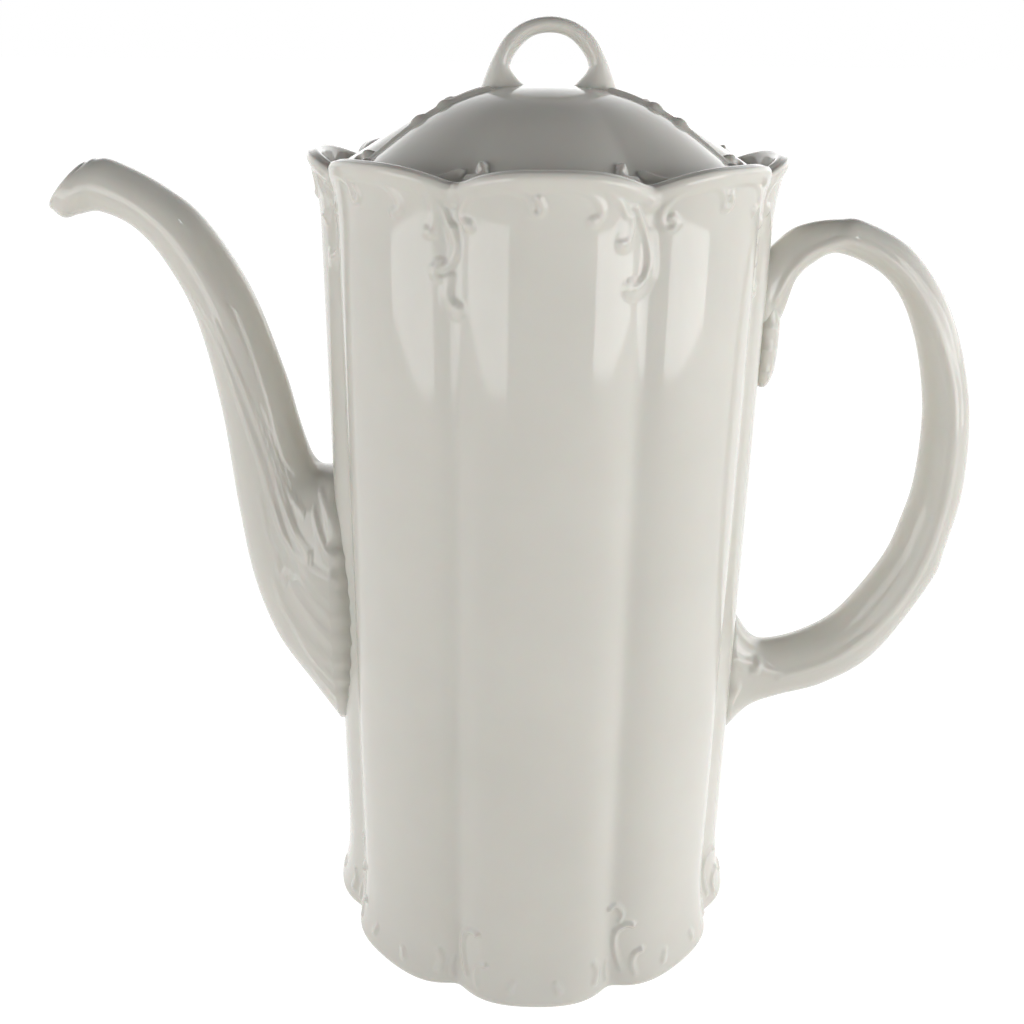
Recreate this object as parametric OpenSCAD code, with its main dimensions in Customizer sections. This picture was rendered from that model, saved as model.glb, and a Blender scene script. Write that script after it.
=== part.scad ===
// Tall lobed porcelain coffee pot with a swan-neck spout, an ear handle and a
// lift-off domed lid.  Millimetres, +Z up.  The origin is on the pot's axis at
// the plane it stands on.  The spout points along -X and the handle along +X.

/* [Body] */
// Number of lobes round the body
lobes = 8; // [6:2:12]
// Radius of the wall at the middle of a lobe
wall_r = 53; // [50:0.1:60]
// Height of the rim at a groove, above the standing plane
body_h = 202.8; // [190:0.2:240]
// Depth of the grooves between the lobes
groove_d = 3.7; // [2:0.1:4.4]
// Thickness of the cast wall
wall_t = 3; // [2.4:0.1:4]
// Thickness of the floor
floor_t = 4; // [3:0.1:6]

/* [Foot] */
// How far the foot swells out beyond the wall
foot_swell = 2.9; // [1:0.1:6]
// Height of the swelling above the standing plane
foot_h = 28; // [18:0.5:36]
// Radius of the roll under the foot
roll_r = 2.2; // [1.5:0.1:3.5]
// Outer radius of the unglazed standing ring
ring_r = 45; // [42:0.1:46]
// Width of the standing ring
ring_w = 4; // [2.5:0.1:6]
// How far the standing ring stands below the glazed foot
ring_step = 0.6; // [0.4:0.1:2]

/* [Rim] */
// How far the petals rise above the grooves
petal_rise = 3.2; // [1:0.1:5]
// How far the rim flares out beyond the wall
rim_flare = 2.4; // [1:0.1:4]
// Height of the flared zone below the rim's grooves
flare_h = 14; // [10:0.5:20]

/* [Lid seat] */
// Depth of the ledge's top face below the rim's grooves
seat_drop = 3.9; // [3:0.1:6]
// Thickness of the ledge
seat_t = 3; // [2:0.1:4]
// Radius of the round mouth in the ledge
mouth_r = 41.5; // [38:0.1:42]

/* [Lid] */
// Gap between the lid's edge and the inside of the rim
lid_gap = 0.8; // [0.5:0.1:1.5]
// Gap between the lid's underside and the ledge
seat_gap = 0.3; // [0.2:0.05:0.5]
// Thickness of the lid
lid_t = 3; // [2.4:0.1:4]
// Rise of the dome above its edge
dome_h = 17.8; // [12:0.2:24]
// Running gap between the lid's collar and the mouth
collar_gap = 0.8; // [0.5:0.1:2]
// Thickness of the collar under the lid
collar_t = 2.6; // [2:0.1:4]
// Length of the collar below the ledge's top face
collar_h = 10; // [6:0.5:16]

/* [Knob] */
// Height of the loop above the crown of the lid
knob_h = 14.4; // [12:0.5:20]
// Half of the loop's spread at its feet
knob_spread = 18.5; // [16:0.5:22]
// Half of the loop's depth, front to back, at its crown
knob_d = 3.2; // [2.5:0.1:4]

/* [Spout] */
// How far the pouring lip reaches beyond the wall
spout_reach = 64.4; // [55:0.2:75]
// Height of the lower end of the spout's root
spout_low = 54.5; // [45:0.5:60]
// How far the top of the spout's tip is below the rim's grooves
spout_tip_drop = 0.4; // [0:0.1:8]
// Half of the root's width across the wall
spout_root_w = 17; // [15:0.5:18]
// Thickness of the spout's wall
spout_t = 2.6; // [2:0.1:3]
// Width of the hole from the body into the spout
hole_w = 18; // [12:0.5:20]
// Height of the hole from the body into the spout
hole_h = 28; // [16:1:34]
// Height of the hole's middle above the lower end of the root
hole_up = 30; // [26:0.5:40]

/* [Handle] */
// How far the ear reaches beyond the wall
ear_reach = 56.5; // [48:0.5:65]
// Height of the lower end of the ear's root
ear_low = 49; // [40:0.5:60]
// How far the top of the ear is below the rim's grooves
ear_drop = 11.8; // [8:0.2:20]
// Half of the ear's width across, at its outer bend
ear_w = 6; // [5:0.1:8]

/* [Relief] */
// Half of the width of a scroll's stem
stem_w = 1.1; // [0.8:0.05:1.4]
// How far the relief stands out of the surface
relief_h = 1; // [0.6:0.05:1.5]

/* [Hidden] */

glaze = "gainsboro";
biscuit = "antiquewhite";
relief_tone = "whitesmoke";

// How far one cast piece is let into another where the two are stuck with slip
bed = 1.5;
lobe_half = 180 / lobes;
half_cols = 5;
cols = 2 * half_cols * lobes;
petal_top = body_h + petal_rise;
flare_z = body_h - flare_h;

// --- Shape of a lobe ---------------------------------------------------------

// Place across a lobe: 0 at its middle, 1 in the groove
function across(a) =
    let (turn = 2 * lobe_half)
    abs(((a + lobe_half) % turn + turn) % turn - lobe_half) / lobe_half;

// 0 over the broad middle of a lobe, 1 in the groove, with a soft groove bottom
valley_soft = 0.09;
function valley(u, sharp) =
    pow(max(0, 1 - norm([1 - u, valley_soft])) / (1 - valley_soft), sharp);

// Outer radius of the pot at angle a and height z
lobe_sharp = 4;
swell_curve = 3;
function swell(z) = foot_swell * pow(max(0, min(1, (foot_h - z) / (foot_h - roll_r))), swell_curve);
function flare(z) = rim_flare * pow(max(0, (z - flare_z) / (petal_top - flare_z)), 2);
function skin_r(a, z) =
    wall_r + swell(z) + flare(z) - groove_d * valley(across(a), lobe_sharp);

// Height of the rim at angle a
petal_sharp = 3;
function rim_z(a) = petal_top - petal_rise * valley(across(a), petal_sharp);

// Angle of column i: the columns crowd towards the grooves
crowd = 1.5;
function crowded(k) = sign(k) * (1 - pow(1 - abs(k) / half_cols, crowd));
function col_angle(i) =
    let (lobe = floor(i / (2 * half_cols)), k = i % (2 * half_cols) - half_cols)
    2 * lobe_half * lobe + lobe_half * crowded(k);

// --- Meshes ------------------------------------------------------------------

// Faces of a grid of n columns by m rows that closes on itself round the columns
function grid_faces(n, m, loop_rows = false) = [
    for (i = [0 : n - 1], j = [0 : loop_rows ? m - 1 : m - 2])
        let (i2 = (i + 1) % n, j2 = (j + 1) % m)
        [i * m + j, i * m + j2, i2 * m + j2, i2 * m + j]
];
// Fans that close the first and the last row on two added points
function cap_faces(n, m) = [
    for (i = [0 : n - 1])
        let (i2 = (i + 1) % n)
        each [[n * m, i * m, i2 * m], [n * m + 1, i2 * m + m - 1, i * m + m - 1]]
];

// The same faces, seen from their other side
function turned_over(faces) = [
    for (f = faces) [for (k = [len(f) - 1 : -1 : 0]) f[k]]
];

// Smooth curve through control rows, with steps points in each span
function spline_at(p, i, t) =
    let (
        a = p[max(0, i - 1)],
        b = p[i],
        c = p[min(len(p) - 1, i + 1)],
        d = p[min(len(p) - 1, i + 2)]
    )
    0.5 * (2 * b + (c - a) * t + (2 * a - 5 * b + 4 * c - d) * t * t
        + (3 * b - a - 3 * c + d) * t * t * t);
function spline(p, steps) = [
    for (i = [0 : len(p) - 2], s = [0 : steps - 1]) spline_at(p, i, s / steps),
    p[len(p) - 1]
];

// A point of the wall at angle a, height z, moved out by lift
function on_wall(a, z, lift) =
    let (r = skin_r(a, z) + lift)
    [r * cos(a), r * sin(a), z];
// The same for a point given by its offset y across the spout's or ear's lobe
function beside_wall(side, y, z, lift) =
    let (
        a = asin(max(-1, min(1, y / wall_r))),
        r = skin_r(side > 0 ? a : 180 - a, z) + lift
    )
    [side * sqrt(max(0, r * r - y * y)), y, z];

// --- Body --------------------------------------------------------------------

floor_z = ring_step + 4 + floor_t;
recess_z = floor_z - floor_t;
corner_r = 7;
ring_bed = 0.4;
hole_z = spout_low + hole_up;
hole_rows = 6;
hole_cols = 2;
hole_half_a = asin(0.5 * hole_w / wall_r);

roll_steps = [-90, -62, -31, 0];
swell_steps = [0.2, 0.45, 0.72, 1];
flare_steps = [0, 0.3, 0.55, 0.78, 1];
lip_steps = [30, 60, 90, 120, 150];
inner_flare_steps = [1, 0.6, 0.2];
corner_steps = [0, 30, 60, 90];

// Rows of the body's outline at angle a, from the underside up and over the rim
function hole_row_z(q, p) =
    hole_z + 0.5 * hole_h * q * sqrt(1 - p * p / 2);
function lip_z(a) = rim_z(a) - wall_t / 2;
function flare_row_z(a, t) = flare_z + t * (lip_z(a) - flare_z);
function under_rows(a) = [
    [ring_r - ring_bed, recess_z],
    [ring_r - ring_bed, ring_step]
];
function roll_rows(a) = [
    for (t = roll_steps)
        let (c = skin_r(a, roll_r + ring_step) - roll_r)
        [c + roll_r * cos(t), ring_step + roll_r + roll_r * sin(t)]
];
function swell_rows(a) = [
    for (t = swell_steps)
        let (z = roll_r + ring_step + t * (foot_h - roll_r - ring_step))
        [skin_r(a, z), z]
];
function flare_rows(a) = [
    for (t = flare_steps) let (z = flare_row_z(a, t)) [skin_r(a, z), z]
];
function lip_rows(a) = [
    for (t = lip_steps)
        [skin_r(a, lip_z(a)) - wall_t / 2 * (1 - cos(t)), lip_z(a) + wall_t / 2 * sin(t)]
];
function inner_flare_rows(a) = [
    for (t = inner_flare_steps)
        let (z = flare_row_z(a, t))
        [skin_r(a, z) - wall_t, z]
];
function corner_rows(a) = [
    for (t = corner_steps)
        let (r = skin_r(a, foot_h) - wall_t - corner_r)
        [r + corner_r * cos(t), floor_z + corner_r - corner_r * sin(t)]
];

// The hole into the spout is a window in the grid, drawn as an oval
spout_col = half_cols + cols / 2;
function in_hole(i) = abs(i - spout_col) <= hole_cols;
function hole_angle(i, q) =
    in_hole(i) && abs(q) <= 1
        ? let (p = (i - spout_col) / hole_cols) 180 + hole_half_a * p * sqrt(1 - q * q / 2)
        : col_angle(i);
function hole_points(i, inset, qs) = [
    for (q = qs)
        let (
            a = hole_angle(i, q),
            p = in_hole(i) ? (i - spout_col) / hole_cols : 0,
            z = hole_row_z(q, p),
            r = skin_r(a, z) - inset
        )
        [r * cos(a), r * sin(a), z]
];
up_rows = [for (j = [0 : hole_rows]) 2 * j / hole_rows - 1];
down_rows = [for (j = [0 : hole_rows]) 1 - 2 * j / hole_rows];

function turned(rows, a) = [for (p = rows) [p[0] * cos(a), p[0] * sin(a), p[1]]];
function body_column(i) =
    let (a = col_angle(i))
    concat(
        turned(under_rows(a), a), turned(roll_rows(a), a), turned(swell_rows(a), a),
        hole_points(i, 0, up_rows),
        turned(flare_rows(a), a), turned(lip_rows(a), a), turned(inner_flare_rows(a), a),
        hole_points(i, wall_t, down_rows),
        turned(corner_rows(a), a)
    );
body_rows = len(body_column(0));
out_row = len(under_rows(0)) + len(roll_rows(0)) + len(swell_rows(0));
in_row = body_rows - len(corner_rows(0)) - 1;

// Index of the outer and the inner point at column i and row q of the hole
function hole_out(i, q) = i * body_rows + out_row + q;
function hole_in(i, q) = i * body_rows + in_row - q;
hole_first = spout_col - hole_cols;
hole_last = spout_col + hole_cols;
hole_side_faces = [
    for (i = [hole_first : hole_last - 1])
        each [
            [hole_out(i, 0), hole_in(i, 0), hole_in(i + 1, 0), hole_out(i + 1, 0)],
            [hole_out(i + 1, hole_rows), hole_in(i + 1, hole_rows),
             hole_in(i, hole_rows), hole_out(i, hole_rows)]
        ],
    for (q = [0 : hole_rows - 1])
        each [
            [hole_out(hole_first, q + 1), hole_in(hole_first, q + 1),
             hole_in(hole_first, q), hole_out(hole_first, q)],
            [hole_out(hole_last, q), hole_in(hole_last, q),
             hole_in(hole_last, q + 1), hole_out(hole_last, q + 1)]
        ]
];
function is_hole_cell(i, j) =
    i >= hole_first && i < hole_last
    && ((j >= out_row && j < out_row + hole_rows) || (j >= in_row - hole_rows && j < in_row));
body_faces = [
    for (i = [0 : cols - 1], j = [0 : body_rows - 2])
        if (!is_hole_cell(i, j))
            let (i2 = (i + 1) % cols)
            [i * body_rows + j, i * body_rows + j + 1, i2 * body_rows + j + 1, i2 * body_rows + j]
];

module body() {
    color(glaze)
    polyhedron(
        points = concat(
            [for (i = [0 : cols - 1]) each body_column(i)],
            [[0, 0, recess_z], [0, 0, floor_z]]
        ),
        faces = concat(body_faces, hole_side_faces, cap_faces(cols, body_rows)),
        convexity = 8
    );
}

// Unglazed ring that the pot stands on, let into the underside of the foot
module standing_ring() {
    color(biscuit)
    rotate_extrude($fn = 96)
    translate([ring_r - ring_w, 0])
    square([ring_w, recess_z + ring_bed]);
}

// Ledge inside the rim that carries the lid, with its round mouth
seat_top = body_h - seat_drop;
seat_bed = 1;
module lid_seat() {
    color(glaze)
    translate([0, 0, seat_top - seat_t])
    linear_extrude(height = seat_t)
    difference() {
        polygon([
            for (i = [0 : cols - 1])
                let (a = col_angle(i), r = skin_r(a, seat_top - seat_t) - wall_t + seat_bed)
                [r * cos(a), r * sin(a)]
        ]);
        circle(r = mouth_r, $fn = 96);
    }
}

// --- Swept pieces: spout, handle and knob ------------------------------------

// A section is [inner x, inner z, outer x, outer z, half width]: the two ends of
// its long axis, and half of its width along Y
function section_point(s, t, trim) =
    let (
        inner = [s[0], s[1]],
        outer = [s[2], s[3]],
        half = norm(outer - inner) / 2,
        long = (outer - inner) / (2 * half),
        mid = (outer + inner) / 2,
        p = mid + long * (half - trim) * cos(t)
    )
    [p[0], (s[4] - trim) * sin(t), p[1]];

// Spout sections as shares of its reach and of its rise
spout_rise = body_h - spout_tip_drop - spout_low;
spout_plan = [
    [0.000, 0.486, 0.000, 0.000, 1.00],
    [0.058, 0.488, 0.118, 0.072, 0.90],
    [0.089, 0.505, 0.262, 0.165, 0.74],
    [0.110, 0.534, 0.352, 0.281, 0.62],
    [0.138, 0.581, 0.396, 0.420, 0.55],
    [0.181, 0.659, 0.432, 0.593, 0.50],
    [0.287, 0.795, 0.498, 0.746, 0.47],
    [0.438, 0.906, 0.596, 0.840, 0.44],
    [0.588, 0.961, 0.698, 0.894, 0.42],
    [0.752, 0.997, 0.816, 0.918, 0.41],
    [0.816, 1.000, 0.898, 0.914, 0.42],
    [0.835, 0.999, 0.955, 0.908, 0.41],
    [0.850, 0.994, 1.000, 0.922, 0.38]
];
spout_sections = [
    for (s = spline(spout_plan, 2))
        [-wall_r - s[0] * spout_reach, spout_low + s[1] * spout_rise,
         -wall_r - s[2] * spout_reach, spout_low + s[3] * spout_rise,
         s[4] * spout_root_w]
];
spout_sides = 20;
spout_rings = len(spout_sections);
function spout_point(j, t, trim) =
    let (p = section_point(spout_sections[j], t, trim))
    j == 0 ? beside_wall(-1, p[1], p[2], -bed) : p;

module spout() {
    color(glaze)
    polyhedron(
        points = [
            for (i = [0 : spout_sides - 1])
                let (t = -i * 360 / spout_sides)
                each concat(
                    [for (j = [0 : spout_rings - 1]) spout_point(j, t, 0)],
                    [for (j = [spout_rings - 1 : -1 : 0]) spout_point(j, t, spout_t)]
                )
        ],
        faces = grid_faces(spout_sides, 2 * spout_rings, true),
        convexity = 8
    );
}

// Middle of a ring of points
function middle(ring) = [for (p = ring) 1] * ring / len(ring);

// Solid swept through sections, its two ends closed
module swept_bar(rings, sides) {
    n = len(rings);
    polyhedron(
        points = concat(
            [for (i = [0 : sides - 1]) each [for (j = [0 : n - 1]) rings[j][i]]],
            [middle(rings[0]), middle(rings[n - 1])]
        ),
        faces = concat(grid_faces(sides, n), cap_faces(sides, n)),
        convexity = 6
    );
}

// Ear sections as shares of its reach and of its height
ear_rise = body_h - ear_drop - ear_low;
ear_plan = [
    [0.000, 0.800, 0.000, 0.944, 1.20],
    [0.079, 0.827, 0.095, 0.980, 0.95],
    [0.109, 0.883, 0.188, 0.994, 0.88],
    [0.179, 0.921, 0.295, 0.999, 0.82],
    [0.311, 0.943, 0.407, 0.996, 0.80],
    [0.533, 0.900, 0.627, 0.949, 0.84],
    [0.672, 0.814, 0.820, 0.848, 0.90],
    [0.764, 0.680, 0.957, 0.694, 0.96],
    [0.778, 0.545, 0.996, 0.535, 1.00],
    [0.743, 0.457, 0.960, 0.414, 1.02],
    [0.678, 0.376, 0.915, 0.338, 1.04],
    [0.509, 0.272, 0.700, 0.188, 1.08],
    [0.350, 0.226, 0.470, 0.120, 1.11],
    [0.190, 0.206, 0.240, 0.090, 1.15],
    [0.100, 0.215, 0.105, 0.066, 1.28],
    [0.000, 0.270, 0.000, 0.015, 1.55]
];
ear_sections = [
    for (s = spline(ear_plan, 2))
        [wall_r + s[0] * ear_reach, ear_low + s[1] * ear_rise,
         wall_r + s[2] * ear_reach, ear_low + s[3] * ear_rise,
         s[4] * ear_w]
];
ear_sides = 20;
ear_rings = len(ear_sections);
module handle() {
    color(glaze)
    swept_bar([
        for (j = [0 : ear_rings - 1])
            [for (i = [0 : ear_sides - 1])
                let (p = section_point(ear_sections[j], -i * 360 / ear_sides, 0))
                j == 0 || j == ear_rings - 1 ? beside_wall(1, p[1], p[2], -bed) : p]
    ], ear_sides);
}

// Leaf that hangs down the wall below the upper root of the ear
lappet_h = 27;
lappet_out = 4.9;
lappet_w = 7;
lappet_top = ear_low + ear_plan[0][1] * ear_rise + 14;
lappet_steps = [0, 0.08, 0.25, 0.5, 0.75, 0.92, 1];
lappet_sides = 16;
module handle_lappet() {
    color(relief_tone)
    swept_bar([
        for (t = lappet_steps)
            let (
                z = lappet_top - t * lappet_h,
                grow = sqrt(max(0.02, 1 - pow(abs(2 * t - 1), 3))),
                thick = (lappet_out + bed) / 2 * grow
            )
            [for (i = [0 : lappet_sides - 1])
                let (
                    f = -i * 360 / lappet_sides,
                    p = beside_wall(1, lappet_w * grow * sin(f), z, (lappet_out - bed) / 2)
                )
                [p[0] + thick * cos(f), p[1], z]]
    ], lappet_sides);
}

// --- Relief ------------------------------------------------------------------

// A stem is a list of [surface point, outward normal, half width, half height]
relief_sides = 6;
function unit(v) = v / max(norm(v), 0.0001);
module stem(path) {
    n = len(path);
    swept_bar([
        for (j = [0 : n - 1])
            let (
                along = unit(path[min(n - 1, j + 1)][0] - path[max(0, j - 1)][0]),
                up = unit(path[j][1] - along * (path[j][1] * along)),
                side = cross(along, up)
            )
            [for (i = [0 : relief_sides - 1])
                let (f = -i * 360 / relief_sides)
                path[j][0] + side * path[j][2] * cos(f) + up * path[j][3] * sin(f)]
    ], relief_sides);
}

// Spiral in the unrolled surface: its centre, its first and last radius and
// angle.  Each point is [across, up, share of the way along]
function spiral(centre, r0, r1, f0, f1, steps = 7) = [
    for (k = [0 : steps])
        let (t = k / steps, r = r0 + (r1 - r0) * t, f = f0 + (f1 - f0) * t)
        [centre[0] + r * cos(f), centre[1] + r * sin(f), t]
];
// A stem's half width: thin at the start, full at its end bead
function swollen(t) = stem_w * (0.55 + 0.75 * t * t);

// Lays an unrolled path on the wall, at angle a0 and height z0, with its mirror image
// when hand is -1
function wall_path(plan, a0, z0, hand) = [
    for (p = plan)
        let (
            a = a0 + hand * p[0] / wall_r * 180 / PI,
            z = z0 + p[1]
        )
        [on_wall(a, z, 0), [cos(a), sin(a), 0], swollen(p[2]), relief_h * (0.6 + 0.4 * p[2])]
];

// Two hooked scrolls hang under the rim of each petal
rim_hooks = [
    spiral([-5.5, -3.8], 5.2, 2.8, 165, -60),
    spiral([9.5, -4.4], 5.2, 2.8, 15, 240)
];
module rim_scrolls() {
    color(relief_tone)
    for (k = [0 : lobes - 1], h = rim_hooks)
        stem(wall_path(h, 2 * lobe_half * k, body_h, 1));
}

// A sprig of three curling leaves hangs in each groove
sprig_leaves = [
    spiral([-3.6, -8.6], 4.4, 2.4, 60, 260),
    spiral([-1.0, -17.5], 5.0, 3.0, 80, 250),
    spiral([2.6, -24.8], 4.8, 3.0, 170, 330)
];
module wall_sprigs() {
    color(relief_tone)
    for (k = [0 : lobes - 1], h = sprig_leaves)
        stem(wall_path(h, lobe_half * (2 * k + 1), body_h, k % 2 == 0 ? 1 : -1));
}

// A pair of C-scrolls rises from the foot beside each groove
foot_hooks = [
    spiral([3.6, 11.5], 6.0, 3.4, 215, 60),
    spiral([5.8, 22.0], 5.0, 2.6, 200, 20)
];
module foot_scrolls() {
    color(relief_tone)
    for (k = [0 : lobes - 1], h = foot_hooks)
        stem(wall_path(h, lobe_half * (2 * k + 1), ring_step, k % 2 == 0 ? 1 : -1));
}

// Leaf fingers fan back along both sides of the spout's root towards the wall.
// A finger starts at a share b of the spout's rise, at the wall, and narrows as
// it runs out and up to the fan's hub
leaf_count = 5;
leaf_low = 0.08;
leaf_high = 0.38;
leaf_hub = [0.16, 0.24];
leaf_steps = 6;
leaf_fan = 0.55;
leaf_wide = 1.9;
leaf_narrow = 0.8;
// Half width of the spout's root at x, z: an oval that shrinks away from the wall
root_taper = 1.25;
root_low_slope = 0.437;
root_high_slope = 0.12;
function root_half_w(x, z) =
    let (
        out = (-x - wall_r) / spout_reach,
        low = spout_low + spout_rise * root_low_slope * out,
        high = spout_low + spout_rise * (spout_plan[0][1] + root_high_slope * out),
        q = min(1, abs(2 * z - low - high) / (high - low))
    )
    spout_root_w * (1 - root_taper * out) * sqrt(1 - q * q);
function leaf_point(b, t, side) =
    let (
        x = -wall_r - t * leaf_hub[0] * spout_reach,
        z = spout_low + (b + (leaf_hub[1] - b) * leaf_fan * t) * spout_rise
    )
    [x, side * root_half_w(x, z), z];
module spout_leaves() {
    color(relief_tone)
    for (side = [-1, 1], k = [0 : leaf_count - 1])
        let (b = leaf_low + (leaf_high - leaf_low) * k / (leaf_count - 1))
        stem([
            for (j = [0 : leaf_steps])
                let (t = j / leaf_steps)
                [leaf_point(b, t, side), [0, side, 0],
                 stem_w * (leaf_wide + (leaf_narrow - leaf_wide) * t), relief_h]
        ]);
}

// --- Lid ---------------------------------------------------------------------

lid_z = seat_top + seat_gap + lid_t;
crown_z = lid_z + dome_h;
function lid_edge_r(a) = skin_r(a, seat_top) - wall_t - lid_gap;
dome_flat = 2.6;
dome_curve = 1.5;
function dome_z(share) = lid_z + dome_h * pow(max(0, 1 - pow(share, dome_flat)), dome_curve);
// The lobes fade out from the edge towards the crown
function lid_r(a, share) =
    let (round_r = wall_r - wall_t - lid_gap)
    share * (round_r + (lid_edge_r(a) - round_r) * pow(share, 3));
dome_steps = [0.2, 0.36, 0.5, 0.62, 0.73, 0.83, 0.92];
under_steps = [0.9, 0.75, 0.55, 0.3];
edge_steps = [90, 45, 0, -45, -90];
lid_round = lid_t / 2;
function lid_rows(a) = concat(
    [for (s = dome_steps) [lid_r(a, s), dome_z(s)]],
    [for (f = edge_steps)
        [lid_r(a, 1) - lid_round * (1 - cos(f)), lid_z - lid_round + lid_round * sin(f)]],
    [for (s = under_steps) [lid_r(a, s), dome_z(s) - lid_t]]
);
lid_row_count = len(lid_rows(0));
module lid() {
    color(glaze)
    polyhedron(
        points = concat(
            [for (i = [0 : cols - 1]) each turned(lid_rows(col_angle(i)), col_angle(i))],
            [[0, 0, crown_z], [0, 0, crown_z - lid_t]]
        ),
        faces = turned_over(concat(
            grid_faces(cols, lid_row_count),
            cap_faces(cols, lid_row_count)
        )),
        convexity = 6
    );
}

// Collar that keeps the lid centred in the mouth
collar_r = mouth_r - collar_gap;
collar_top = dome_z(collar_r / (wall_r - wall_t - lid_gap)) - 1.2;
module lid_collar() {
    color(glaze)
    rotate_extrude($fn = 96)
    translate([collar_r - collar_t, seat_top - collar_h])
    square([collar_t, collar_top - seat_top + collar_h]);
}

// Loop that the lid is lifted by: one half of its sections, as shares of the
// spread and of the height
knob_plan = [
    [0.16, -0.12, 1.00, -0.16, 1.75],
    [0.36, 0.05, 0.82, 0.14, 1.38],
    [0.475, 0.28, 0.705, 0.38, 1.18],
    [0.39, 0.53, 0.55, 0.70, 1.09],
    [0.22, 0.72, 0.31, 0.92, 1.03],
    [0.00, 0.775, 0.00, 1.00, 1.00]
];
knob_half = [
    for (s = knob_plan)
        [-s[0] * knob_spread, crown_z + s[1] * knob_h, -s[2] * knob_spread,
         crown_z + s[3] * knob_h, s[4] * knob_d]
];
knob_controls = concat(
    knob_half,
    [for (j = [len(knob_half) - 2 : -1 : 0])
        let (s = knob_half[j]) [-s[0], s[1], -s[2], s[3], s[4]]]
);
knob_sides = 16;
module lid_knob() {
    color(glaze)
    swept_bar([
        for (s = spline(knob_controls, 2))
            [for (i = [0 : knob_sides - 1]) section_point(s, -i * 360 / knob_sides, 0)]
    ], knob_sides);
}

// A point of the lid at angle a and share of its radius, with its normal
function on_lid(a, share) = let (r = lid_r(a, share)) [r * cos(a), r * sin(a), dome_z(share)];
function lid_normal(a, share) =
    let (
        step = 0.02,
        run = lid_r(a, share + step) - lid_r(a, share - step),
        drop = (dome_z(share - step) - dome_z(share + step)) / run
    )
    unit([drop * cos(a), drop * sin(a), 1]);
// Four ribs run down the dome beside the loop's feet, and a pair of curls stands
// at the lid's edge in each groove
rib_lobes = [1.5, -1.5];
rib_start = 0.3;
rib_end = 0.92;
lid_curls = [
    spiral([3.6, -4.0], 3.4, 2.2, 200, 20, 6),
    spiral([-3.6, -4.0], 3.4, 2.2, -20, 160, 6)
];
module lid_relief() {
    color(relief_tone) {
        for (side = [0, 180], k = rib_lobes)
            stem([
                for (j = [0 : 8])
                    let (s = rib_start + (rib_end - rib_start) * j / 8, a = side + k * lobe_half)
                    [on_lid(a, s), lid_normal(a, s), stem_w, relief_h * 0.8]
            ]);
        for (k = [0 : lobes - 1], h = lid_curls)
            stem([
                for (p = h)
                    let (
                        a = lobe_half * (2 * k + 1) + p[0] / wall_r * 180 / PI,
                        s = 1 + p[1] / wall_r
                    )
                    [on_lid(a, s), lid_normal(a, s), swollen(p[2]), relief_h]
            ]);
    }
}

body();
standing_ring();
lid_seat();
spout();
spout_leaves();
handle();
handle_lappet();
rim_scrolls();
wall_sprigs();
foot_scrolls();
lid();
lid_collar();
lid_knob();
lid_relief();
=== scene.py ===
"""A tall lobed porcelain coffee pot with its lift-off lid, dressed over its CAD frame.

Shapes are worked out in millimetres in the frame's own axes: +Z up, the spout
along -X, the handle along +X, and the side in full view towards -Y.
"""
import math

import bpy
import numpy as np
from mathutils import Matrix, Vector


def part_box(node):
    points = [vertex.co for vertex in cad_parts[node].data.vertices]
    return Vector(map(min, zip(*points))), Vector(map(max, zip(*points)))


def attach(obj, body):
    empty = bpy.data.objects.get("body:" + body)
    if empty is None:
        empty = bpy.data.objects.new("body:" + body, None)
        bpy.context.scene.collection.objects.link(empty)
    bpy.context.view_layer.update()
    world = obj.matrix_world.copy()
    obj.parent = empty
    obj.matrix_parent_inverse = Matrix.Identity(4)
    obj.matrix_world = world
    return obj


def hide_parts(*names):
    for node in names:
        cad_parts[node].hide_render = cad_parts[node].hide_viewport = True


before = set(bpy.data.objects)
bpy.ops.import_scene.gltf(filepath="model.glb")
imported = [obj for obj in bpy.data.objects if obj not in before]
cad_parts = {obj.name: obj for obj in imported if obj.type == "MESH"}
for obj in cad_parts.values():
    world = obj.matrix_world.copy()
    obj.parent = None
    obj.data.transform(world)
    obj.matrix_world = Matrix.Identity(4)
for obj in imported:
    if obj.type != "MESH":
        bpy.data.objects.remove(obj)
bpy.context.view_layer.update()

# ---------------------------------------------------------------------------
# Body. One slip-cast jug of porcelain with eight lobes, a swollen foot and a
# petalled rim, glazed all over but for its standing ring. The scrolls are part
# of the mould, so here they are raised out of the wall's own surface.
# ---------------------------------------------------------------------------
MM = 0.001

LOBES = 8
COLUMNS_PER_LOBE = 84
COLUMNS = LOBES * COLUMNS_PER_LOBE
LOBE_TURN = 2 * math.pi / LOBES


def box_mm(node_name):
    """Low and high corner of a CAD node's box, in mm."""
    return [np.array(corner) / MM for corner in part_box(node_name)]


body_low, body_high = box_mm("body")
FOOT_OUT = 2.7
WALL_R = body_high[0] - FOOT_OUT
GROOVE_DEPTH = 2.7
GROOVE_FOLLOW = 0.35
GROOVE_SHARP = 4.0
GROOVE_SOFT = 0.12
WALL = 3.0

PETAL_TOP = body_high[2]
PETAL_RISE = 3.2
PETAL_SHARP = 3.0
NOTCH_Z = PETAL_TOP - PETAL_RISE
FLARE_OUT = 2.4
FLARE_Z = NOTCH_Z - 14.0
RIM_ROLL = 0.55
RIM_ROLL_HALF = 2.5
RIM_ROLL_BELOW = 1.7

GLAZED_FOOT_Z = body_low[2]
SWELL = 2.9
SWELL_TOP = 28.0
SWELL_CURVE = 3.0
ROLL_R = 2.2
FLOOR_Z = 8.6
INNER_CORNER = 7.0
ring_high = box_mm("standing_ring")[1]
RING_BED = 0.4
RECESS_R = ring_high[0] - RING_BED
RECESS_Z = ring_high[2] - RING_BED

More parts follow.
